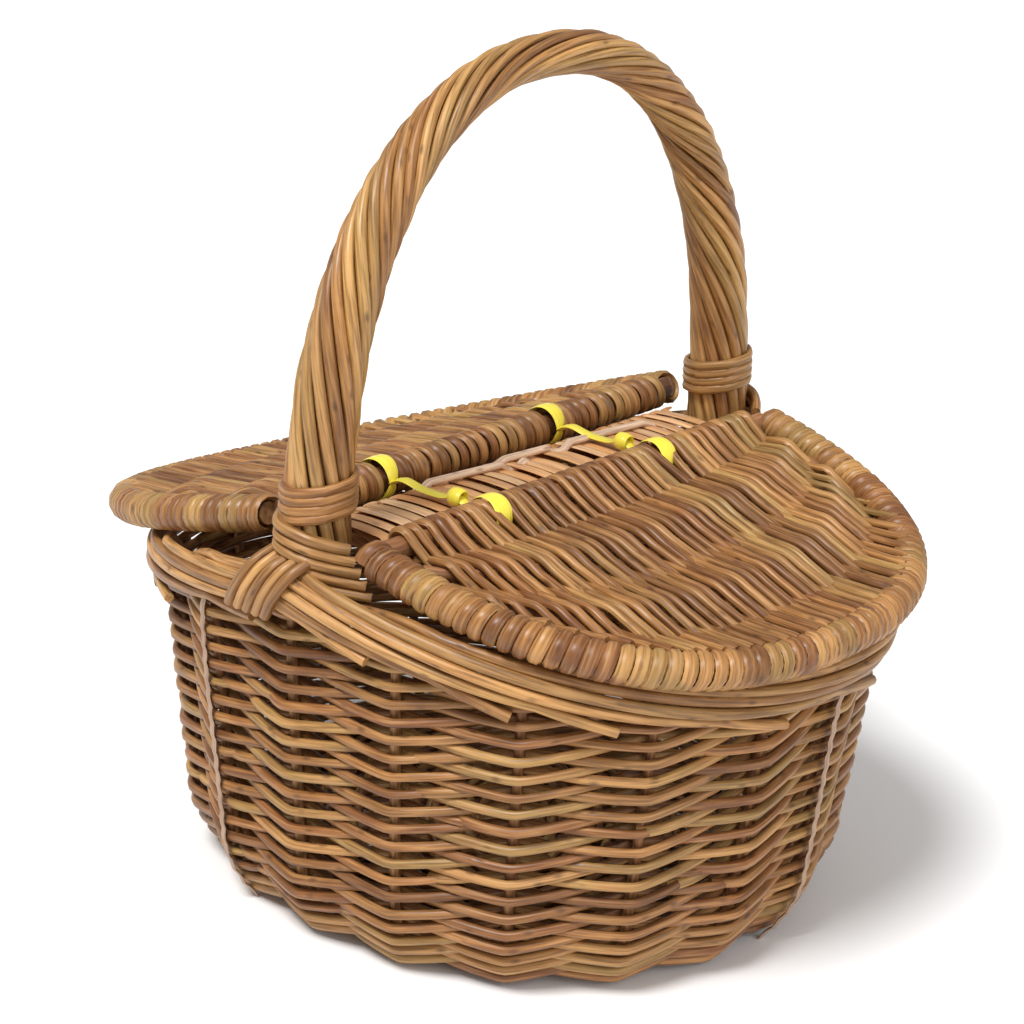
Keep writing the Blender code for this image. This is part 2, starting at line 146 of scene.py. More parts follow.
# %% A socket that can be added and multiplied
class Socket:
    """Wraps an output socket, so that arithmetic on it adds Math nodes."""

    def __init__(self, tree, socket):
        self.tree, self.socket = tree, socket

    def math(self, operation, other, swap=False):
        pair = (other, self) if swap else (self, other)
        return self.tree.add("ShaderNodeMath", {"operation": operation}, {0: pair[0], 1: pair[1]})

    def __add__(self, other):
        return self.math("ADD", other)

    def __sub__(self, other):
        return self.math("SUBTRACT", other)

    def __mul__(self, other):
        return self.math("MULTIPLY", other)

    def __truediv__(self, other):
        return self.math("DIVIDE", other)

    def __rsub__(self, other):
        return self.math("SUBTRACT", other, swap=True)

    __radd__, __rmul__ = __add__, __mul__


class Tree:
    """A material's node tree, with one method that adds any node."""

    def __init__(self, name):
        self.material = bpy.data.materials.new(name)
        self.material.use_nodes = True
        self.nodes, self.links = self.material.node_tree.nodes, self.material.node_tree.links
        self.shader = self.nodes["Principled BSDF"]

    def put(self, socket, value):
        if isinstance(value, Socket):
            self.links.new(value.socket, socket)
        else:
            socket.default_value = value

    def add(self, kind, settings=None, inputs=None, output=0):
        """A node of a type with its settings, then its input values or links; returns one output."""
        node = self.nodes.new(kind)
        for key, value in (settings or {}).items():
            if key == "stops":
                ramp = node.color_ramp
                for place, colour in value:
                    stop = ramp.elements.new(place)
                    stop.color = (*colour, 1.0)
                ramp.elements.remove(ramp.elements[0])
                ramp.elements.remove(ramp.elements[-1] if value[-1][0] < 1 else ramp.elements[-2])
            else:
                setattr(node, key, value)
        for key, value in (inputs or {}).items():
            self.put(node.inputs[key], value)
        return Socket(self, node.outputs[output])

    def mix(self, factor, first, second, blend="MIX"):
        """Two colours mixed."""
        settings = {"data_type": "RGBA", "blend_type": blend, "clamp_factor": True}
        return self.add("ShaderNodeMix", settings, {0: factor, 6: first, 7: second}, output=2)


# %% [markdown]
# ## Willow
# Willow that is boiled in its bark turns honey brown, and each rod turns a little differently: olive, honey,
# orange or a dark reddish brown. So a rod's colour comes from its own random number, kept on its points.
# Over it lie fine lines along the rod, broad blotches, and the small dark scars where leaves grew.
# The skin is satin, so the roughness stays near a half and moves with the grain.


# %% The willow materials
def willow(name, palette, dark, roughness=0.45, pale=0.25):
    """Willow skin: palette by rod, lengthwise grain, blotches and leaf scars."""
    tree = Tree(name)
    tone = tree.add("ShaderNodeAttribute", {"attribute_name": "tone"}, output=1)
    split = tree.add("ShaderNodeSeparateXYZ", None, {0: tone})
    first = split
    second = Socket(tree, split.socket.node.outputs[1])
    third = Socket(tree, split.socket.node.outputs[2])
    grain = tree.add("ShaderNodeAttribute", {"attribute_name": "grain"}, output=1)
    fine_place = tree.add("ShaderNodeVectorMath", {"operation": "MULTIPLY"}, {0: grain, 1: (900, 900, 45)})
    blotch_place = tree.add("ShaderNodeVectorMath", {"operation": "MULTIPLY"}, {0: grain, 1: (120, 120, 38)})
    scar_place = tree.add("ShaderNodeVectorMath", {"operation": "MULTIPLY"}, {0: grain, 1: (150, 150, 70)})
    fine = tree.add("ShaderNodeTexNoise", None, {"Vector": fine_place, "Scale": 1.0, "Detail": 3.0})
    blotch = tree.add("ShaderNodeTexNoise", None, {"Vector": blotch_place, "Scale": 1.0, "Detail": 2.0})
    scar = tree.add("ShaderNodeTexVoronoi", None, {"Vector": scar_place, "Scale": 1.0})
    scar_mask = tree.add("ShaderNodeMapRange", None, {0: scar, 1: 0.05, 2: 0.22, 3: 1.0, 4: 0.0})

    base = tree.add("ShaderNodeValToRGB", {"stops": palette}, {0: first * 0.70 + blotch * 0.60 - 0.15})
    worn = tree.add("ShaderNodeMapRange", None, {0: fine, 1: 0.52, 2: 0.72, 3: 0.0, 4: pale})
    lighter = tree.mix(worn, base, (0.62, 0.40, 0.18, 1.0))
    streak = tree.add("ShaderNodeMapRange", None, {0: fine, 1: 0.34, 2: 0.56, 3: 0.55, 4: 0.0})
    streaked = tree.mix(streak, lighter, (*dark, 1.0))
    scarred = tree.mix(scar_mask * 0.65, streaked, (*dark, 1.0))
    shade = second * 0.40 + 0.78
    shaded = tree.add("ShaderNodeVectorMath", {"operation": "SCALE"}, {0: scarred, "Scale": shade})
    tree.put(tree.shader.inputs["Base Color"], shaded)
    tree.put(tree.shader.inputs["Roughness"], third * 0.14 + fine * 0.16 + (roughness - 0.15))
    tree.shader.inputs["Specular IOR Level"].default_value = 0.42
    height = fine * 0.5 - scar_mask * 0.7 + blotch * 0.5
    bump = tree.add("ShaderNodeBump", None, {"Strength": 0.35, "Distance": 0.0006, "Height": height})
    tree.put(tree.shader.inputs["Normal"], bump)
    return tree.material


HONEY = [(0.0, (0.120, 0.042, 0.012)), (0.20, (0.235, 0.090, 0.026)), (0.42, (0.335, 0.146, 0.042)),
         (0.62, (0.425, 0.210, 0.066)), (0.80, (0.400, 0.228, 0.068)), (1.0, (0.510, 0.256, 0.088))]
LIGHT = [(0.0, (0.235, 0.090, 0.026)), (0.3, (0.380, 0.176, 0.052)), (0.6, (0.480, 0.246, 0.080)),
         (0.85, (0.460, 0.262, 0.082)), (1.0, (0.560, 0.300, 0.112))]
RUST = [(0.0, (0.105, 0.038, 0.015)), (0.3, (0.225, 0.088, 0.034)), (0.6, (0.350, 0.155, 0.060)),
        (1.0, (0.470, 0.240, 0.092))]
PEELED = [(0.0, (0.640, 0.300, 0.105)), (0.4, (0.780, 0.420, 0.180)), (0.7, (0.820, 0.500, 0.250)),
          (1.0, (0.860, 0.600, 0.370))]
PALE = [(0.0, (0.38, 0.23, 0.15)), (1.0, (0.78, 0.57, 0.40))]
DARK = (0.058, 0.022, 0.009)

body_willow = willow("woven_willow", HONEY, DARK)
stick_willow = willow("willow_stick", RUST, DARK, 0.5)
border_willow = willow("border_willow", LIGHT, DARK, 0.42)
handle_willow = willow("roped_willow", LIGHT, DARK, 0.40)
lid_willow = willow("wrapped_willow", HONEY, DARK, 0.42, 0.30)
buff_willow = willow("buff_skein", PEELED, (0.36, 0.14, 0.06), 0.45, 0.35)
strip_willow = willow("peeled_strip", PALE, (0.20, 0.10, 0.06), 0.5)
print("willow materials: 7")

# %% [markdown]
# ## The shape of the body
# Seen from above the body is a superellipse: fuller than an ellipse, softer than a rectangle. Its half
# sizes grow a little with height and tuck in at the foot. The rim is highest beside the handle and dips
# towards both ends, where the lids come down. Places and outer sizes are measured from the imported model's
# boxes. A box can't tell a power, the foot's curve or the rim's fall, so those numbers repeat the packed
# model's own and have to change together with it.

# %% Measure the wall and the rim
POWER = 2.1                    # superellipse power of the plan
WALL_TOP = 0.142               # height where the upper half sizes hold
FOOT = 0.030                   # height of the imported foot
TURN_IN = 0.037                # height below which the foot turns in
TUCK = 0.015                   # how far the foot turns in at the ground
DROP_POWER = 1.1               # how the rim falls from the handle to the ends
BORDER_SPREAD = 0.0032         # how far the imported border's rods stand out past the wall
BORDER_HALF_HEIGHT = 0.00855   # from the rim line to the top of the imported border
WIDER_TOP = np.array([0.0030, 0.0])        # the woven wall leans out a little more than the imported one
NARROWER_FOOT = np.array([0.0030, -0.0010])
DROP = {1: 0.031, -1: 0.049}   # how far the rim falls on the right and on the left
LEFT_TWIST = math.radians(2.0)   # how much steeper the left lid is towards +Y

upper_low, upper_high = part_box("border_rod_2")
foot_low, foot_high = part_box("upsett_weave")
middle = np.array([upper_low.x + upper_high.x, upper_low.y + upper_high.y]) / 2
top_half = np.array([(upper_high.x - upper_low.x) / 2, (upper_high.y - upper_low.y) / 2]) - BORDER_SPREAD
foot_half = np.array([(foot_high.x - foot_low.x) / 2, (foot_high.y - foot_low.y) / 2])
foot_half = foot_half + TUCK * (1 - FOOT / TURN_IN) ** 2
share = FOOT / WALL_TOP
low_half = (foot_half - share * top_half) / (1 - share)
top_half = top_half + WIDER_TOP
low_half = low_half - NARROWER_FOOT
rim_side = upper_high.z - BORDER_HALF_HEIGHT
print("wall half sizes", top_half.round(4), "at the top,", low_half.round(4), "at the ground")


def signed_power(value, power):
    """|value| ** power with the sign of value."""
    return np.sign(value) * np.abs(value) ** power


def half_sizes(height):
    """Half length and half width: a straight line in height, less a parabola at the foot."""
    height = np.asarray(height, float)
    rise = np.clip(height / WALL_TOP, 0, 1)[..., None]
    tuck = TUCK * np.clip(1 - height / TURN_IN, 0, 1) ** 2
    return low_half + (top_half - low_half) * rise - tuck[..., None]


def wall(turn, height, out=0.0):
    """A point of the wall's outer face at a turn (radians) and height, moved out, and its normal.

    x = a |cos|^(2/p), y = b |sin|^(2/p); the normal also leans by the wall's own slope.
    """
    half = half_sizes(height)
    slope = (half_sizes(height + 0.001) - half)[..., 0] / 0.001
    x = half[..., 0] * signed_power(np.cos(turn), 2 / POWER)
    y = half[..., 1] * signed_power(np.sin(turn), 2 / POWER)
    normal = np.stack([signed_power(x / half[..., 0], POWER - 1) / half[..., 0],
                       signed_power(y / half[..., 1], POWER - 1) / half[..., 1], np.zeros_like(x)], -1)
    normal = unit(normal)
    normal[..., 2] = -slope
    normal = unit(normal)
    point = np.stack([middle[0] + x, middle[1] + y, np.broadcast_to(height, x.shape)], -1)
    return point + normal * np.asarray(out)[..., None], normal


def rim_height(point):
    """Height of the border's centre: side height less drop * reach ** power, less the left lid's twist."""
    offset = point[..., 0] - middle[0]
    reach = np.clip(np.abs(offset) / top_half[0], 0, 1)
    left = offset < 0
    twist = left * LEFT_TWIST * np.maximum(np.abs(point[..., 0]) - hinge_x, 0) * point[..., 1] / left_half
    return rim_side - np.where(left, DROP[-1], DROP[1]) * reach ** DROP_POWER - twist


bar_low, bar_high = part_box("lid_right_hinge_bar")
hoop_low, hoop_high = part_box("lid_left_hoop")
hinge_x = (bar_low.x + bar_high.x) / 2
left_half = (hoop_high.y - hoop_low.y) / 2 - 0.009
TURNS = np.linspace(0, 2 * np.pi, 2001)
outline = wall(TURNS, np.full(2001, WALL_TOP))[0]
way = np.concatenate([[0], np.cumsum(np.linalg.norm(np.diff(outline, axis=0), axis=1))])
PERIMETER = way[-1]


def turn_at(place):
    """The turn at a place round the wall, where place 0 to 1 is even along the outline."""
    place = np.asarray(place, float)
    whole = np.floor(place)
    return np.interp((place - whole) * PERIMETER, way, TURNS) + 2 * np.pi * whole


print(f"the outline is {PERIMETER * 1000:.0f} mm round")

# %% [markdown]
# ## French randing
# The wall is woven in French randing: a rod starts at every stake, and each passes in front of one stake and
# behind the next, so that it climbs one rod's height from stake to stake. All rods together make 18 helices.
# A helix's height is a row's height times the stakes it has passed, and where it meets the foot or the
# border it is cut. Each helix is a chain of rods, and a rod's ends are pushed inside, as a maker does.


# %% Weave the wall
STAKES = 18                    # uprights round the wall, two of them the handle's own ends
ROD = 0.00235                  # radius of a weaving rod
STAKE = 0.0025                 # radius of a stake
PITCH = 0.00435                # height of one row
SWING = ROD + STAKE            # how far a rod swings from the middle of the wall
MIDDLE = SWING + ROD           # depth of the wall's middle below its outer face
SAG = 0.0020                   # how much lower a rod lies outside a stake than inside
UNDER_BORDER = 0.0075          # the weave stops this far below the border's centre line
FIRST_LEVEL = 0.0030
POINTS_PER_STAKE = 14


def kink(phase, sharpness=0.995):
    """A rounded triangle wave of period 2: asin(s sin(pi phase)) / asin(s)."""
    return np.arcsin(sharpness * np.sin(np.pi * phase)) / math.asin(sharpness)


def wander(place, size, waves=7):
    """A smooth random line for each rod: a sum of sines with random strengths and phases."""
    order = np.arange(1, waves + 1)[:, None, None]
    phase = rng.random((waves, len(place), 1)) * 2 * np.pi
    strength = rng.normal(size=(waves, len(place), 1)) / np.sqrt(order)
    return size * (strength * np.sin(2 * np.pi * order * place[None] + phase)).sum(0) / 2


heights = np.linspace(FIRST_LEVEL, 0.20, 2000)
slopes = np.gradient(half_sizes(heights)[:, 0], heights)
climb = np.concatenate([[0], np.cumsum(np.diff(heights) * np.sqrt(1 + slopes[1:] ** 2))])
rim_place = np.linspace(0, 1, 721)
rim_under = rim_height(wall(turn_at(rim_place), np.full(721, WALL_TOP))[0]) - UNDER_BORDER


def row_height(row):
    """Height of a row, counted along the leaning wall."""
    return np.interp(row * PITCH, climb, heights)


def rods_of_helix(helix):
    """Start, end and helix of the rods that make one helix, from the foot to the border."""
    place = np.linspace(0, 3.2, 2400)
    row = STAKES * place - helix
    inside = (row > -0.6) & (row_height(row) < np.interp(place % 1, rim_place, rim_under))
    edges = np.flatnonzero(np.diff(np.concatenate([[0], inside.astype(int), [0]])))
    rods = []
    for first, last in zip(edges[::2], edges[1::2]):
        start, end = place[first], place[min(last, len(place) - 1)]
        while end - start > 0.02:
            stop = min(start + rng.uniform(0.30, 0.46), end)
            stop = end if end - stop < 0.10 else stop
            rods.append((start - 0.006, stop + 0.006, helix))
            start = stop
    return rods


rods = np.array([rod for helix in range(STAKES) for rod in rods_of_helix(helix)])
steps = 8 * POINTS_PER_STAKE + 1
along = np.linspace(0, 1, steps)[None]
place = rods[:, :1] + (rods[:, 1:2] - rods[:, :1]) * along
row = STAKES * place - rods[:, 2:3]
level = row_height(np.clip(row, 0, None)) + wander(place, 0.00035)
swing = kink(STAKES * place - rods[:, 2:3])
tuck_in = np.clip(1 - np.minimum(along, 1 - along) * 22, 0, 1) ** 2
level = level - SAG * swing * np.clip(level / 0.02, 0, 1)
path, normal = wall(turn_at(place), level, -MIDDLE + swing * SWING - 0.003 * tuck_in)
taper = (1.10 - 0.20 * along) * (0.93 + 0.14 * rng.random((len(rods), 1)))
wall_rods = carry(path, normal, ROD * taper, sides=6)
make_piece("side_weave_rods", [wall_rods], body_willow, "basket",
           ["side_weave", "upsett_weave"])
print(len(rods), "rods in the wall")

# %% [markdown]
# ## Stakes
# The stakes are the upright ribs of the body. They run through the middle of the weave from the base to the
# border. They are seen only where two front rods leave a gap, but without them the gaps would be empty.
# Each is a carried circle that thins upwards, and its top end drifts a little to one side.

# %% Stand the stakes
stake_place = (np.arange(STAKES) + 0.5) / STAKES
rise = np.linspace(0, 1, 26)[None]
stake_top = rim_height(wall(turn_at(stake_place), np.full(STAKES, WALL_TOP))[0])[:, None] - 0.004
stake_level = 0.002 + rise * (stake_top - 0.002)
stake_turn = turn_at(stake_place[:, None] + 0.0006 * rng.normal(size=(STAKES, 1)) * rise)
path, normal = wall(stake_turn, stake_level, np.full(stake_level.shape, -MIDDLE))
stakes = carry(path, normal, STAKE * (1.08 - 0.16 * rise), sides=8)
make_piece("stakes", [stakes], stick_willow, "basket",
           [f"stake_{i:02d}" for i in range(1, 17)])

# %% [markdown]
# ## Flat strips down the wall
# Three flat peeled strips run down the outside of the weave, a third of the way round from each other.
# A strip is the same carried profile, wide and thin. It rises and falls by a fraction of a millimetre
# with the rows, so that it seems pressed against the rods.

# %% Lay the strips
STRIP_HALF_WIDTH = 0.0019
STRIP_HALF_THICK = 0.0007
STRIP_PRESS = 0.0004           # how far a strip follows the rows in and out
STRIP_TONE = 0.15              # the same place on the colour ramp for all three
strip_place = np.array([0.016, 0.355, 0.697])[:, None]
strip_foot = wall(turn_at(strip_place), np.full(strip_place.shape, WALL_TOP))[0]
strip_level = np.linspace(0.004, 1, 60)[None] * (rim_height(strip_foot) - 0.004)
strip_out = STRIP_PRESS + STRIP_PRESS * np.cos(strip_level * 2 * np.pi / (2 * PITCH))
path, normal = wall(turn_at(strip_place + 0.0015 * np.sin(strip_level * 40)), strip_level, strip_out)
strips = carry(path, normal, STRIP_HALF_WIDTH, STRIP_HALF_THICK, sides=8, tones=np.full((3, 3), STRIP_TONE))
make_piece("wall_strips", [strips], strip_willow, "basket")

# %% [markdown]
# ## The base
# Under the basket, sticks cross in the middle and rods are woven round them out to the foot of the wall.
# The rings are the wall's own outline at the ground, shrunk towards the centre, and they swing up and down
# instead of in and out.

# %% Weave the base
base_low, base_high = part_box("base_weave")
base_half = half_sizes(0.0)
BASE_LEVEL = MIDDLE + 0.0006
rings = np.arange(1, 27)
shrink = 1 - rings * PITCH / base_half[1]
base_place = np.linspace(0, 1, STAKES * 10 + 1)[None]
turn = turn_at(base_place) + 0 * rings[:, None]
plan = np.stack([middle[0] + base_half[0] * signed_power(np.cos(turn), 2 / POWER) * shrink[:, None],
                 middle[1] + base_half[1] * signed_power(np.sin(turn), 2 / POWER) * shrink[:, None]], -1)
stroke = np.where(rings % 2, 1, -1)[:, None]
lift = BASE_LEVEL + 0.004 * (1 - shrink[:, None]) - SWING * kink(base_place * STAKES) * stroke
path = np.concatenate([plan, lift[..., None]], -1)
base_rods = carry(path, np.array([0, 0, 1.0]), ROD * 0.98, sides=6)
spoke = np.linspace(0.02, 0.97, 12)[None]
spoke_turn = turn_at(stake_place)[:, None] + 0 * spoke
path = np.stack([middle[0] + base_half[0] * signed_power(np.cos(spoke_turn), 2 / POWER) * spoke,
                 middle[1] + base_half[1] * signed_power(np.sin(spoke_turn), 2 / POWER) * spoke,
                 BASE_LEVEL + 0.004 * (1 - spoke) + 0 * spoke_turn], -1)
spokes = carry(path, np.array([0, 0, 1.0]), STAKE, sides=6)
make_piece("base_rods", [base_rods], body_willow, "basket", ["base_weave"])
make_piece("base_sticks", [spokes], stick_willow, "basket", ["base_stick_1", "base_stick_2"])

# %% [markdown]
# ## The rolled border
# To finish the rim, each stake is bent over and laid along it. It climbs from the inside, rolls over the top,
# comes down the outside and ends a few stakes further on, its cut tip pointing down. So at any place
# several rods lie side by side, all slightly slanted. Each rod's path is the rim's centre line plus a point
# of an ellipse, taller than wide, at an angle that falls from the inside over the top to below the outside.

# %% Roll the border
BORDER_WIDE = 0.0058           # half sizes of the ellipse that the rods' centres follow
BORDER_TALL = 0.0092
BORDER_LOWER = 0.0030          # the ellipse's centre below the rim line
BORDER_ROD = 0.0026
SPAN = 5.6 / STAKES            # stretch of rim that one rod covers
start = stake_place[:, None] + 0.003 * rng.normal(size=(STAKES, 1))
along = np.linspace(0, 1, 60)[None]
span = SPAN * (0.92 + 0.22 * rng.random((STAKES, 1)))
place = start + span * along
centre, out = wall(turn_at(place), np.full(place.shape, WALL_TOP), np.full(place.shape, -0.0012))
out[..., 2] = 0
out = unit(out)
centre[..., 2] = rim_height(centre) - BORDER_LOWER
roll = np.radians(np.interp(along, [0, 0.10, 0.22, 0.55, 0.90, 1.0], [225, 160, 75, 10, -62, -76])
                  + 4 * rng.normal(size=start.shape))
tip = np.clip(along - 0.90, 0, 1) / 0.10
spread = out * np.cos(roll)[..., None] + np.array([0, 0, 1.0]) * np.sin(roll)[..., None]
path = centre + out * (BORDER_WIDE * np.cos(roll))[..., None]
path[..., 2] += BORDER_TALL * np.sin(roll) - 0.0080 * tip * (0.2 + 0.8 * rng.random(start.shape))
path += out * (0.0016 * tip)[..., None]
thick = BORDER_ROD * (1.06 - 0.12 * along) * (0.92 + 0.16 * rng.random((len(start), 1)))
border = carry(path, spread, thick, sides=8)
make_piece("border_rods", [border], border_willow, "basket",
           ["border_rod_1", "border_rod_2"])

# %% [markdown]
# ## The roped handle
# A thick bow makes the arch, and thin rods are laid along it with a slow twist, like the strands of a rope.
# The arch is again a superellipse, standing up. A rod's path is the arch plus a radius that turns round it,
# at an even rate from the front foot to the back one. Small random swells keep the rods a little uneven.

# %% Rope the handle
binding_low, binding_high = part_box("foot_binding_front")
far_low, far_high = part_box("foot_binding_back")
leg_y = (far_low.y + far_high.y) / 2 + 0.0006
foot_z = binding_low.z - 0.006
strand_top = max(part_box(f"handle_strand_{i}")[1].z for i in range(1, 7))
HANDLE_RADIUS = 0.0150         # at the feet
THINNING = 0.33                # share of the radius that is lost at the top
HANDLE_POWER = 2.23
arch_rise = strand_top - HANDLE_RADIUS * (1 - THINNING) - foot_z


def arch(angle):
    """The handle's centre line, from the front foot (0) to the back foot (pi)."""
    y = -leg_y * signed_power(np.cos(angle), 2 / HANDLE_POWER)
    z = foot_z + arch_rise * np.abs(np.sin(angle)) ** (2 / HANDLE_POWER)
    return np.stack([0 * y, y, z], -1)


def even(points, count):
    """The same line with its points spread evenly."""
    step = np.linalg.norm(np.diff(points, axis=0), axis=1)
    walked = np.concatenate([[0], np.cumsum(step)])
    goal = np.linspace(0, walked[-1], count)
    return np.stack([np.interp(goal, walked, points[:, k]) for k in range(points.shape[1])], -1)


angles = np.linspace(0, np.pi, 1500)
fine_arch = np.concatenate([arch(angles), 1 - THINNING * np.sin(angles)[:, None] ** 2], axis=1)
leg = np.array([[0, 0, -0.016, 0]])
spine = even(np.concatenate([fine_arch[:1] + leg, fine_arch, fine_arch[-1:] + leg]), 141)
line, thinning = spine[:, :3], spine[:, 3]
tangent = unit(np.gradient(line, axis=0))
outward = np.stack([0 * tangent[:, 0], -tangent[:, 2], tangent[:, 1]], -1)
across = np.array([1.0, 0, 0])
HANDLE_RODS = 12
HANDLE_ROD = 0.0030
s = np.linspace(0, 1, len(line))[None]
k = np.arange(HANDLE_RODS)[:, None]
twist = 2.7 * s
noise = wander(np.broadcast_to(s * 0.5, (HANDLE_RODS, len(line))), 0.06, 5)
angle = 2 * np.pi * (k / HANDLE_RODS - twist) + noise
thick = HANDLE_ROD * (0.93 + 0.12 * rng.random((HANDLE_RODS, 1))) * thinning[None]
ring_radius = HANDLE_RADIUS * thinning - thick + wander(np.broadcast_to(s * 0.5, angle.shape), 0.0004, 6)
spread = outward[None] * np.cos(angle)[..., None] + across * np.sin(angle)[..., None]
path = line[None] + spread * ring_radius[..., None]
roped = carry(path, spread, thick, thick * 0.95, sides=8)
core = carry(line[None], outward[None], 0.0088 * thinning[None], sides=10)
make_piece("handle_rods", [roped], handle_willow, "basket",
           [f"handle_strand_{i}" for i in range(1, 7)])
make_piece("handle_bow", [core], stick_willow, "basket", ["handle_core"])

# %% [markdown]
# ## Bindings and lashings at the feet
# Each foot is bound with a few turns of one rod, and more rods cross the border on the slant to tie the leg
# down. A binding is a coil: a circle that rises a rod's width each turn. The slanted rods are straight
# runs that bend over the border, so they are placed by a few points each and smoothed.


# %% Bind the feet
def smooth_line(points, count):
    """A smooth line through a few points, by cubic Hermite pieces with central slopes."""
    points = np.asarray(points, float)
    slope = np.gradient(points, axis=0)
    t = np.linspace(0, len(points) - 1, count)
    i = np.clip(t.astype(int), 0, len(points) - 2)
    u = (t - i)[:, None]
    return ((1 + 2 * u) * (1 - u) ** 2 * points[i] + u * (1 - u) ** 2 * slope[i]
            + u ** 2 * (3 - 2 * u) * points[i + 1] + u ** 2 * (u - 1) * slope[i + 1])


def binding(side):
    """A coil round a leg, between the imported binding's ends, a little steeper than level."""
    turns, per_turn = 4.1, 22
    t = np.linspace(0, 1, int(turns * per_turn))
    angle = 2 * np.pi * turns * t + 2.2
    z = binding_low.z + 0.0065 + (binding_high.z - binding_low.z - 0.0095) * t
    lean = np.interp(z, line[:60, 2], np.abs(line[:60, 1]))
    leg_radius = HANDLE_RADIUS * np.interp(z, line[:60, 2], thinning[:60])
    radius = leg_radius + 0.0007 + 0.0003 * np.sin(7 * angle)
    tilt = 0.0022 * np.sin(angle + 0.9)
    path = np.stack([radius * np.cos(angle), side * (lean - 0.0003) + radius * np.sin(angle), z + tilt], -1)
    normal = np.stack([np.cos(angle), np.sin(angle), 0 * angle], -1)
    return carry(path[None], normal[None], 0.0024, 0.0016, sides=8)


def lashing(side):
    """Rods from the leg down across the border, and a fan of rods that crosses it the other way."""
    parts = []
    wall_y = abs(middle[1] + side * (top_half[1] + BORDER_SPREAD))
    for i in range(5):
        drop = 0.0050 * i
        points = [(-0.0165, side * (leg_y + 0.004), binding_low.z + 0.0050 - drop),
                  (-0.006, side * (leg_y + 0.0166), binding_low.z + 0.0040 - drop),
                  (0.009, side * (leg_y + 0.0160), binding_low.z + 0.0015 - drop),
                  (0.017, side * (leg_y + 0.0100), binding_low.z - 0.0010 - drop),
                  (0.0225 + 0.0025 * i, side * (leg_y + 0.003 - 0.001 * i), binding_low.z - 0.0035 - drop)]
        parts.append(smooth_line(points, 26))
    for i in range(5):
        shift = 0.0056 * i
        points = [(-0.010 + shift, side * (leg_y + 0.010), rim_side + 0.0125),
                  (-0.014 + shift, side * (wall_y + 0.0020), rim_side + 0.0060),
                  (-0.021 + shift, side * (wall_y + 0.0050), rim_side - 0.0050),
                  (-0.029 + shift, side * (wall_y + 0.0020), rim_side - 0.0165)]
        parts.append(smooth_line(points, 26))
    path = np.stack(parts)
    normal = np.broadcast_to(np.array([0, side, 0.35]), path.shape)
    return carry(path, unit(normal), 0.0024 * (0.92 + 0.16 * rng.random((10, 1))), sides=8)


for foot, side in (("front", -1), ("back", 1)):
    make_piece(f"foot_binding_coil_{foot}", [binding(side)], handle_willow, "basket",
               [f"foot_binding_{foot}"])
    make_piece(f"foot_lashing_rods_{foot}", [lashing(side)], handle_willow, "basket",
               [f"foot_lashing_{foot}"])

# %% [markdown]
# ## The lids
# A lid is a D: a straight hinge bar and a bent hoop, with two bowed ribs between them. Rods run from the
# hoop to the bar and back, over one rib and under the next. A rod comes back on the other side of each rib,
# so at each rib only every second run is on top, and between the ribs they all cross, which gives
# the rows of ridges and valleys. A point of the lid is given by how far it lies from bar to hoop, how far
# across, and how high above the lid's plane. The plane then slopes down from the hinge, the left one more
# steeply than the right one, and the left one is also twisted a little.

# %% Lid places
LID_POWER = 2.4
SLOPES = {"right": math.radians(12.6), "left": math.radians(18.1)}
TWISTS = {"right": 0.0, "left": LEFT_TWIST}
BAR = 0.009                    # radius of the wrapped bar and hoop
BAR_CORE = 0.0052              # radius of the stick inside the bar and hoop
WEAVER = 0.0022                # half width of a lid's weaving rod
RIB = 0.0028
PAIR = 0.0066                  # distance between two rods on top of the same rib
RIB_SHARES = np.array([0.0, 1 / 3, 2 / 3, 1.0])
for name, slope in SLOPES.items():
    print(f"the {name} lid slopes down by {math.degrees(slope):.1f} degrees")


def lid_measure(name):
    """Side, hinge, half width, centre, length, slope and twist of a lid, from its joint and packed hoop."""
    side = 1 if name == "right" else -1
    hoop_low, hoop_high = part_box(f"lid_{name}_hoop")
    joint = next(j for j in frame["joints"] if j["name"] == f"lid_{name}_hinge")
    hinge = joint["pos_m"]
    reach = (hoop_high.x if side > 0 else -hoop_low.x) - abs(hinge[0]) - BAR
    return {"side": side, "hinge_x": hinge[0], "hinge_z": hinge[2], "length": reach / math.cos(SLOPES[name]),
            "half": (hoop_high.y - hoop_low.y) / 2 - BAR, "centre_y": (hoop_low.y + hoop_high.y) / 2,
            "slope": SLOPES[name], "twist": TWISTS[name]}


def on_lid(lid, along, across, up):
    """World points from lid places.

    The plane slopes down from the hinge, and a twisted lid is steeper towards +Y.
    """
    slope = lid["slope"] + lid["twist"] * np.asarray(across) / lid["half"]
    x = along * np.cos(slope) + up * np.sin(slope)
    z = -along * np.sin(slope) + up * np.cos(slope)
    x = lid["hinge_x"] + lid["side"] * x
    z = lid["hinge_z"] + z
    return np.stack(np.broadcast_arrays(x, lid["centre_y"] + across, z), -1)


def lid_normal(lid):
    """Which way is up from a lid."""
    return np.array([lid["side"] * math.sin(lid["slope"]), 0, math.cos(lid["slope"])])


def hoop_at(lid, across, inset=0.0):
    """How far the hoop lies from the bar: L (1 - |y/w|^p)^(1/p)."""
    part = np.clip(np.abs(across) / (lid["half"] - inset), 0, 1)
    return (lid["length"] - inset) * (1 - part ** LID_POWER) ** (1 / LID_POWER)


# %% [markdown]
# The rod that makes a pair of rows starts under the hoop, runs to the bar, turns round it and runs back.
# Its height is a wave that is up on one rib and down on the next, larger at the thick bar and hoop.
# The turn round the bar is a half circle, so the wraps on the bar are the same rods as the rows.


# %% Weave a lid
ROW_STEPS = 60


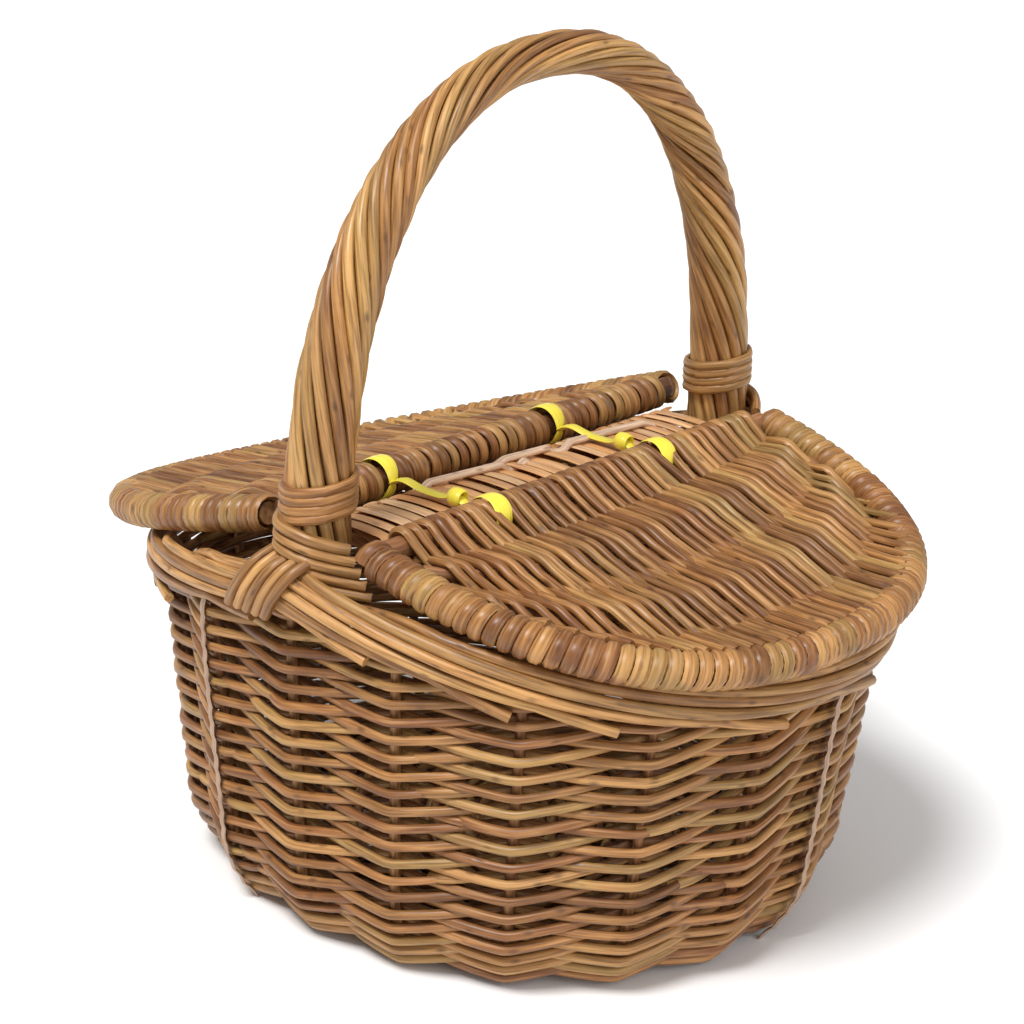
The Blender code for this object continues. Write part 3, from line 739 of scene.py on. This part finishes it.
def lid_rods(lid, gaps):
    """Pairs of rows with the turn round the bar between them."""
    edge = lid["half"] - BAR - 0.0035
    count = int(2 * edge / PAIR)
    across = (np.arange(count) - (count - 1) / 2) * PAIR
    across = (across + 0.0004 * rng.normal(size=count))[:, None]
    share = np.linspace(0, 1, ROW_STEPS)[None]
    wave = kink(3 * share + 0.5, 0.97)
    size = np.interp(share, [0, 1 / 3, 2 / 3, 1], [BAR_CORE + 0.0021, RIB + 0.0024, RIB + 0.0024, 0.0062])
    hoop = hoop_at(lid, across, BAR - 0.0055)
    wobble = wander(np.broadcast_to(share, (count, ROW_STEPS)) * 0.8, 0.0005, 4)
    sway = PAIR * (np.interp(share, [0, 0.08, 0.26, 0.40, 0.60, 0.73, 0.93, 1.0],
                             [0, 0, 0.46, 0.46, -0.46, -0.46, 0.15, 0.15]))
    room = np.clip(1 - np.abs(across) / edge, 0, 0.06) / 0.06
    bar_shift = np.zeros_like(across)
    for gap in gaps:
        away = across + lid["centre_y"] - gap
        bar_shift += np.where(away < 0, -1, 1) * 0.0042 * np.exp(-(away / 0.011) ** 2)
    near_bar = np.clip(1 - share * 5, 0, 1) ** 1.5
    moved = bar_shift * near_bar
    out_along = share * hoop
    first = on_lid(lid, out_along, across + wobble + moved + sway * room, size * wave)
    second = on_lid(lid, out_along, across + PAIR / 2 + wobble + moved - sway * room, -size * wave)
    turn = np.linspace(0, np.pi, 14)[None, 1:-1]
    radius = BAR_CORE + 0.0021
    round_across = across + bar_shift + PAIR / 2 * (1 - turn / np.pi)
    round_bar = on_lid(lid, -radius * np.sin(turn), round_across, -radius * np.cos(turn))
    path = np.concatenate([second[:, ::-1], round_bar, first], axis=1)
    up = lid_normal(lid)
    forward = np.array([lid["side"] * math.cos(lid["slope"]), 0, -math.sin(lid["slope"])])
    straight = np.broadcast_to(up, second.shape)
    curl = -forward * np.sin(turn)[..., None] - up * np.cos(turn)[..., None]
    curl = np.broadcast_to(curl, round_bar.shape)
    normal = np.concatenate([-straight, curl, straight], axis=1)
    thick = 0.92 + 0.16 * rng.random((count, 1))
    flat = np.ones(path.shape[1])
    flat[ROW_STEPS:-ROW_STEPS] = 1.12
    return carry(path, normal, WEAVER * thick * flat, 0.0020 * thick, sides=6)


def hoop_line(lid, count):
    """Even points along the hoop's centre line."""
    angle = np.linspace(-np.pi / 2, np.pi / 2, 1200)
    along = lid["length"] * np.abs(np.cos(angle)) ** (2 / LID_POWER)
    across = lid["half"] * signed_power(np.sin(angle), 2 / LID_POWER)
    return even(on_lid(lid, along, across, 0 * along), count)


def coil_round(centre, up, radius, half_width, half_height, pitch, per_turn=12):
    """One rod wound round a line: centre + radius (side cos + up sin), a turn every pitch."""
    length = np.linalg.norm(np.diff(centre, axis=0), axis=1).sum()
    turns = int(length / pitch)
    count = turns * per_turn
    fine = even(centre, count)
    tangent = unit(np.gradient(fine, axis=0))
    side = unit(np.cross(tangent, up))
    lift = np.cross(side, tangent)
    angle = 2 * np.pi * np.arange(count) / per_turn
    spread = side * np.cos(angle)[:, None] + lift * np.sin(angle)[:, None]
    turn = np.repeat(np.arange(turns), per_turn)
    size = (0.94 + 0.12 * rng.random(turns + 1))[turn]
    path = fine + spread * radius
    part = carry(path[None], spread[None], half_width * size[None], half_height * size[None], sides=6)
    tones = rng.random((turns // 2 + 1, 3))[turn // 2]
    part["tone"] = np.repeat(tones, 6, axis=0)
    return part


def make_lid(name, gaps):
    """Ribs, bar, hoop, their wraps and the weave of one lid."""
    lid = lid_measure(name)
    body = f"lid_{name}"
    up = lid_normal(lid)
    sticks = []
    for share in RIB_SHARES[1:3]:
        across = np.linspace(-1, 1, 40) * (lid["half"] - BAR - 0.003)
        line = on_lid(lid, share * hoop_at(lid, across, BAR - 0.003), across, 0 * across)
        sticks.append(carry(line[None], up, RIB, sides=8))
    bar_across = np.linspace(-1, 1, 12) * (lid["half"] - BAR * 0.4)
    sticks.append(carry(on_lid(lid, 0 * bar_across, bar_across, 0)[None], up, BAR_CORE, sides=12))
    hoop = hoop_line(lid, 60)
    sticks.append(carry(hoop[None], up, BAR_CORE, sides=10))
    make_piece(f"lid_{name}_sticks", sticks, stick_willow, body,
               [f"lid_{name}_rib_1", f"lid_{name}_rib_2", f"lid_{name}_hinge_bar"])
    make_piece(f"lid_{name}_rods", [lid_rods(lid, gaps)], lid_willow, body,
               [f"lid_{name}_weave"])
    wraps = coil_round(hoop, up, BAR - 0.0018, 0.0033, 0.0017, 0.0065)
    make_piece(f"lid_{name}_hoop_wraps", [wraps], lid_willow, body, [f"lid_{name}_hoop"])
    return lid


strap_places = [sum(v.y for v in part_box(f"strap_{n}_tie")) / 2 for n in ("front", "back")]
lids = {name: make_lid(name, strap_places) for name in ("right", "left")}

# %% [markdown]
# ## The bridge
# Between the handle's feet lies a narrow band of split, peeled willow. The splits are flat and wide, and each
# is wound round the two rails, so on top they lie side by side like leaves. A split is a carried
# profile that is far wider than thick, tilted a little so that it overlaps its neighbour.
# Two long pale rods are threaded along the top, over most of the splits and under a few.

# %% Weave the bridge
bridge_low, bridge_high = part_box("bridge_weave")
bridge_z = (bridge_low.z + bridge_high.z) / 2
RAIL_PLACE = 0.0158            # how far each rail lies from the middle
RAIL = 0.0034                  # radius of a rail
SKEIN = 0.0047                 # half width of a split
SKEIN_THICK = 0.0009
SKEIN_PITCH = 0.0084           # distance from one split to the next
SKEIN_SLANT = 0.0008           # how far a split drifts along the bridge on its way across
SHINGLE = math.radians(9)      # tilt that lets the splits overlap


def bridge_skeins():
    """Loops round both rails: straight on top, a half circle at each rail, and a step of one pitch below."""
    count = int((bridge_high.y - bridge_low.y) / SKEIN_PITCH)
    centre = (bridge_low.y + bridge_high.y) / 2
    start = centre + (np.arange(count) - (count - 1) / 2) * SKEIN_PITCH
    radius = RAIL + SKEIN_THICK
    straight = np.linspace(-1, 1, 21)
    turn = np.linspace(0, np.pi, 11)[1:-1]
    x = np.concatenate([RAIL_PLACE * straight, RAIL_PLACE + radius * np.sin(turn),
                        -RAIL_PLACE * straight, -RAIL_PLACE - radius * np.sin(turn)])
    crown = 0.0010 * (1 - straight ** 2)
    z = np.concatenate([radius + crown, radius * np.cos(turn), -radius - crown, -radius * np.cos(turn)])
    below = SKEIN_SLANT + (SKEIN_PITCH - 2 * SKEIN_SLANT) * (straight + 1) / 2
    shift = np.concatenate([SKEIN_SLANT * straight, np.full(9, SKEIN_SLANT), below,
                            np.full(9, SKEIN_PITCH - SKEIN_SLANT)])
    y = start[:, None] + shift[None] + 0.0005 * rng.normal(size=(count, 1))
    lift = 0.0004 * rng.normal(size=(count, 1))
    path = np.stack(np.broadcast_arrays(x[None], y, bridge_z + z[None] + lift), -1)
    zero = np.zeros(9)
    normal = np.concatenate([np.tile([0, math.sin(SHINGLE), math.cos(SHINGLE)], (21, 1)),
                             np.stack([np.sin(turn), zero, np.cos(turn)], -1),
                             np.tile([0.0, 0, -1.0], (21, 1)),
                             np.stack([-np.sin(turn), zero, -np.cos(turn)], -1)])
    leaf = np.concatenate([1.0 - 0.16 * straight ** 2, np.full(9, 0.80),
                           0.84 + 0 * straight, np.full(9, 0.80)])
    width = SKEIN * (0.94 + 0.14 * rng.random((count, 1))) * leaf
    return carry(path, normal[None], width, SKEIN_THICK, sides=8)


def listing(x_ends, y_ends, phase):
    """A pale rod along the top that dips under a split now and then."""
    t = np.linspace(0, 1, 90)
    y = y_ends[0] + (y_ends[1] - y_ends[0]) * t
    x = x_ends[0] + (x_ends[1] - x_ends[0]) * t
    dip = np.clip(np.cos(2 * np.pi * (y / (8 * SKEIN_PITCH) + phase)) * 5 - 3.8, 0, 1)
    ends = np.clip(1 - np.minimum(t, 1 - t) * 12, 0, 1)
    top = bridge_z + RAIL + 2 * SKEIN_THICK + 0.0030
    path = np.stack([x, y, top - 0.0034 * np.maximum(dip, ends)], -1)
    return carry(path[None], np.array([0, 0, 1.0]), 0.0024, 0.0016, sides=8, tones=np.full((1, 3), 0.9))


rail_y = np.linspace(bridge_low.y, bridge_high.y, 10)
rail_line = np.stack([0 * rail_y, rail_y, 0 * rail_y + bridge_z], -1)
rails = np.stack([rail_line + np.array([x, 0, 0]) for x in (-RAIL_PLACE, RAIL_PLACE)])
make_piece("bridge_skeins", [bridge_skeins()], buff_willow, "basket", ["bridge_weave"])
make_piece("bridge_rails", [carry(rails, np.array([0, 0, 1.0]), RAIL, sides=10)], buff_willow, "basket",
           ["bridge_rail_left", "bridge_rail_right"])
listings = [listing((-0.013, -0.005), (-0.062, 0.004), 0.1), listing((-0.012, -0.002), (-0.016, 0.092), 0.6)]
make_piece("bridge_listing", listings, strip_willow, "basket")

# %% [markdown]
# ## The yellow ties
# Two strips of glossy yellow plastic tie the lids down. Each passes round both hinge bars and is knotted on
# the bridge, so it is the hinge as well. A strip is the same carried profile, flat and thin, pinched
# where it is pulled tight.

# %% Tie the straps
strap_tree = Tree("yellow_strap")
strap_place = strap_tree.add("ShaderNodeAttribute", {"attribute_name": "grain"}, output=1)
crease_place = strap_tree.add("ShaderNodeVectorMath", {"operation": "MULTIPLY"},
                              {0: strap_place, 1: (1400, 1400, 60)})
crease = strap_tree.add("ShaderNodeTexNoise", None, {"Vector": crease_place, "Scale": 1.0, "Detail": 2.0})
yellow = strap_tree.mix(crease, (0.80, 0.60, 0.02, 1.0), (0.95, 0.86, 0.12, 1.0))
strap_tree.put(strap_tree.shader.inputs["Base Color"], yellow)
strap_tree.put(strap_tree.shader.inputs["Roughness"], crease * 0.25 + 0.16)
strap_bump = strap_tree.add("ShaderNodeBump", None, {"Strength": 0.5, "Distance": 0.0008, "Height": crease})
strap_tree.put(strap_tree.shader.inputs["Normal"], strap_bump)
strap_yellow = strap_tree.material


def strap(name):
    """Two rings round the bars, the strip between them and its knot."""
    low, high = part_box(f"strap_{name}_tie")
    y = (low.y + high.y) / 2
    top = bridge_z + RAIL + 3 * SKEIN_THICK + 0.0030
    parts = []
    for lid in lids.values():
        side, hinge_x, hinge_z = lid["side"], lid["hinge_x"], lid["hinge_z"]
        angle = np.linspace(0, 2 * np.pi, 41)
        ring = np.stack([hinge_x - side * 0.0098 * np.cos(angle), y + 0.0015 * np.sin(angle),
                         hinge_z + 0.0098 * np.sin(angle)], -1)
        normal = np.stack([-side * np.cos(angle), 0 * angle, np.sin(angle)], -1)
        width = 0.0018 + 0.0034 * np.sin(angle / 2) ** 0.5
        parts.append(carry(ring[None], normal[None], width[None], 0.0006, sides=8))
    left, right = lids["left"], lids["right"]
    points = [(left["hinge_x"] + 0.0095, y, left["hinge_z"] + 0.0005), (-0.016, y - 0.001, top + 0.0022),
              (-0.006, y + 0.0005, top), (0.006, y + 0.001, top), (0.016, y, top + 0.0022),
              (right["hinge_x"] - 0.0095, y, right["hinge_z"] + 0.0005)]
    strip = smooth_line(points, 40)
    wide = 0.0032 - 0.0010 * np.abs(np.linspace(-1, 1, 40)) ** 3
    parts.append(carry(strip[None], np.array([0, 0, 1.0]), wide[None], 0.0010, sides=8))
    angle = np.linspace(0, 2 * np.pi * 1.6, 40)
    knot = np.stack([0.0145 + 0.0012 * angle / 6, y + 0.0036 * np.cos(angle),
                     top + 0.0024 + 0.0032 * np.sin(angle)], -1)
    knot_normal = np.stack([0 * angle, np.cos(angle), np.sin(angle)], -1)
    parts.append(carry(knot[None], knot_normal[None], 0.0030, 0.0011, sides=8))
    names = [f"strap_{name}_loop_left", f"strap_{name}_loop_right", f"strap_{name}_tie"]
    make_piece(f"strap_{name}", parts, strap_yellow, "basket", names)


for name in ("front", "back"):
    strap(name)

# %% [markdown]
# ## Floor, light and camera
# A white studio has a pale floor, a bright surround and large soft lamps. Lamps near the basket would leave
# the far floor grey, so two soft suns stand in for them: a key from the front and above, and a weaker and
# softer fill from the right. The camera stands to the front right, a little above the lids, with a long lens.

# %% Stage
AZIMUTH = math.radians(40.94)
ELEVATION = math.radians(20.195)
ROLL = math.radians(2.5)
DISTANCE = 1.3644
AIM = np.array([-0.0984, 0.1002, 0.1199])
LENS = 91.7

FLOOR_REACH = 40
FLOOR_LEVEL = -0.0004          # just under the rods, so that nothing shares its plane
corners = [(x * FLOOR_REACH, y * FLOOR_REACH, FLOOR_LEVEL) for x, y in ((-1, -1), (1, -1), (1, 1), (-1, 1))]
floor_mesh = bpy.data.meshes.new("floor")
floor_mesh.from_pydata(corners, [], [(0, 1, 2, 3)])
floor_tree = Tree("floor_white")
floor_tree.shader.inputs["Base Color"].default_value = (0.93, 0.93, 0.93, 1)
floor_tree.shader.inputs["Roughness"].default_value = 0.6
floor_mesh.materials.append(floor_tree.material)
floor = bpy.data.objects.new("floor", floor_mesh)
bpy.context.scene.collection.objects.link(floor)

world = bpy.data.worlds.new("studio")
bpy.context.scene.world = world
world.use_nodes = True
world.node_tree.nodes["Background"].inputs[0].default_value = (1.0, 1.0, 1.0, 1)
world.node_tree.nodes["Background"].inputs[1].default_value = 0.42


def sun(name, place, strength, softness):
    """A soft sun that shines from a place towards the basket, so that the whole floor is equally bright."""
    light = bpy.data.lights.new(name, "SUN")
    light.energy = strength
    light.angle = math.radians(softness)
    item = bpy.data.objects.new(name, light)
    direction = -np.array(place, float)
    item.rotation_euler = Vector(direction).to_track_quat("-Z", "Y").to_euler()
    bpy.context.scene.collection.objects.link(item)
    return item


sun("key", (0.05, -0.85, 1.55), 3.15, 20)
sun("fill", (1.3, -0.2, 0.8), 0.9, 40)

back = np.array([math.sin(AZIMUTH) * math.cos(ELEVATION), -math.cos(AZIMUTH) * math.cos(ELEVATION),
                 math.sin(ELEVATION)])
level_right = np.array([math.cos(AZIMUTH), math.sin(AZIMUTH), 0])
level_up = np.cross(back, level_right)
right = math.cos(ROLL) * level_right + math.sin(ROLL) * level_up
up = -math.sin(ROLL) * level_right + math.cos(ROLL) * level_up
spot = AIM + back * DISTANCE
camera_data = bpy.data.cameras.new("camera")
camera_data.lens = LENS
camera_data.sensor_width = 36
camera_data.clip_start = 0.01
camera = bpy.data.objects.new("camera", camera_data)
camera.matrix_world = Matrix([[right[0], up[0], back[0], spot[0]], [right[1], up[1], back[1], spot[1]],
                                 [right[2], up[2], back[2], spot[2]], [0, 0, 0, 1]])
bpy.context.scene.collection.objects.link(camera)
bpy.context.scene.camera = camera
bpy.context.scene.view_settings.view_transform = "Standard"
print("camera at", spot.round(3))
